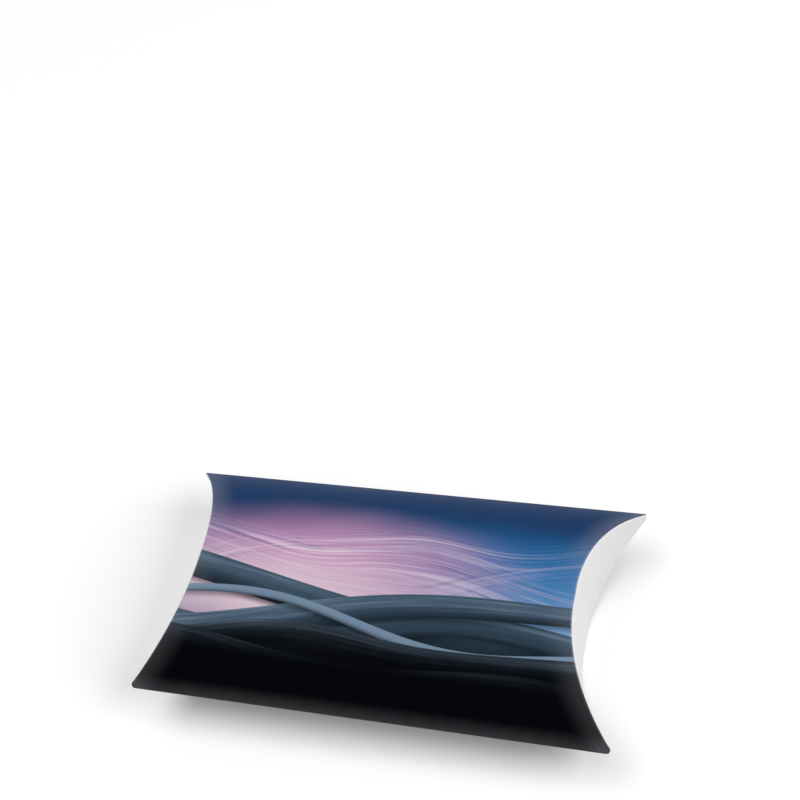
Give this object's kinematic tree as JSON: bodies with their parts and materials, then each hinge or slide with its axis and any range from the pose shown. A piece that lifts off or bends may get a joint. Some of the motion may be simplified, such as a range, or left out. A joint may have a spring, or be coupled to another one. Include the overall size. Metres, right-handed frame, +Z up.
{
  "type": "pillow box",
  "caption": "Pillow-shaped gift box of folding board: a bowed, glued sleeve closed at both ends by curved outer and inner flaps.",
  "frame": {"origin": "centre of the box's footprint, on the surface that its back panel lies on", "axes": "+X along the box towards its right mouth, +Y across it towards the glued seam, +Z up out of the printed front panel"},
  "size_m": [0.1494, 0.08, 0.032],
  "materials": {
    "printed_board": "satin",
    "white_board": "satin",
    "adhesive": "satin"
  },
  "bodies": {
    "sleeve": {"front_panel": "printed_board", "back_panel": "printed_board", "glue_flap": "white_board", "glue_line": "adhesive"},
    "right_outer_flap": {"right_outer_flap": "white_board"},
    "right_inner_flap": {"right_inner_flap": "white_board"},
    "left_outer_flap": {"left_outer_flap": "white_board"},
    "left_inner_flap": {"left_inner_flap": "white_board"}
  },
  "joints": [
    {"name": "right_outer_crease", "type": "hinge", "parent": "sleeve", "child": "right_outer_flap", "pos_m": [0.059, 0, 0.032], "axis": [0, -1, 0], "range_deg": [0, 90]},
    {"name": "right_inner_crease", "type": "hinge", "parent": "sleeve", "child": "right_inner_flap", "pos_m": [0.05825, 0, 0], "axis": [0, 1, 0], "range_deg": [0, 45]},
    {"name": "left_outer_crease", "type": "hinge", "parent": "sleeve", "child": "left_outer_flap", "pos_m": [-0.059, 0, 0.032], "axis": [0, 1, 0], "range_deg": [0, 90]},
    {"name": "left_inner_crease", "type": "hinge", "parent": "sleeve", "child": "left_inner_flap", "pos_m": [-0.05825, 0, 0], "axis": [0, -1, 0], "range_deg": [0, 45]}
  ],
  "couplings": [
    {"joint": "right_inner_crease", "follows": "right_outer_crease", "ratio": 0.5},
    {"joint": "left_inner_crease", "follows": "left_outer_crease", "ratio": 0.5}
  ]
}
